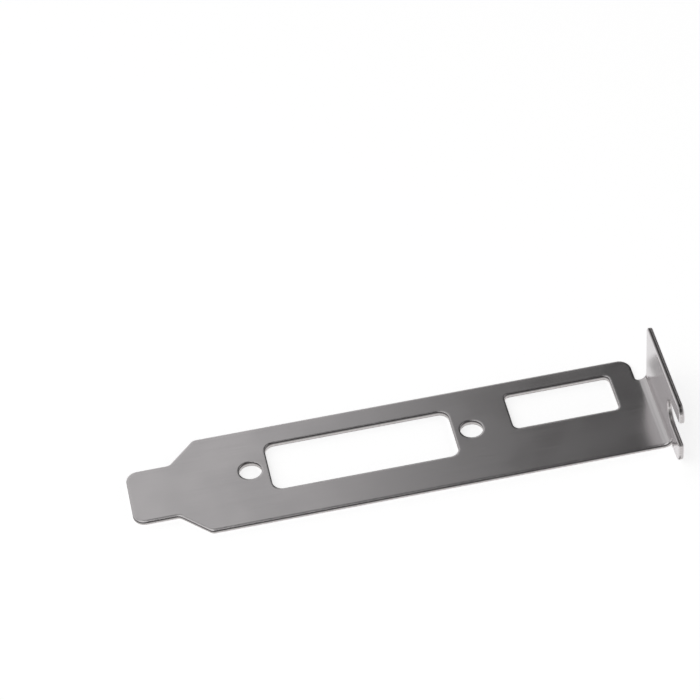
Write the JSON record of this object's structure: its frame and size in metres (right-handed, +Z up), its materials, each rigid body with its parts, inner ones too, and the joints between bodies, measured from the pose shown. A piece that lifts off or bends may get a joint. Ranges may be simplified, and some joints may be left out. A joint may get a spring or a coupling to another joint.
{
  "type": "low profile expansion card bracket",
  "caption": "Folded sheet-metal end bracket for a low profile computer card, with a tongue, connector cut-outs and a slotted screw tab.",
  "frame": {"origin": "middle of the outline seen from above, level with the plate's outer face, which the part rests on", "axes": "+X along the length, from the tongue's end to the screw tab; +Z up out of the plate, the way the tab stands; the screw slot opens towards -Y"},
  "size_m": [0.0792, 0.0222, 0.0114],
  "materials": {
    "nickel_plate": "bright nickel plating on steel sheet, slightly soft mirror"
  },
  "bodies": {
    "root": {"bracket": "nickel_plate"}
  },
  "joints": []
}
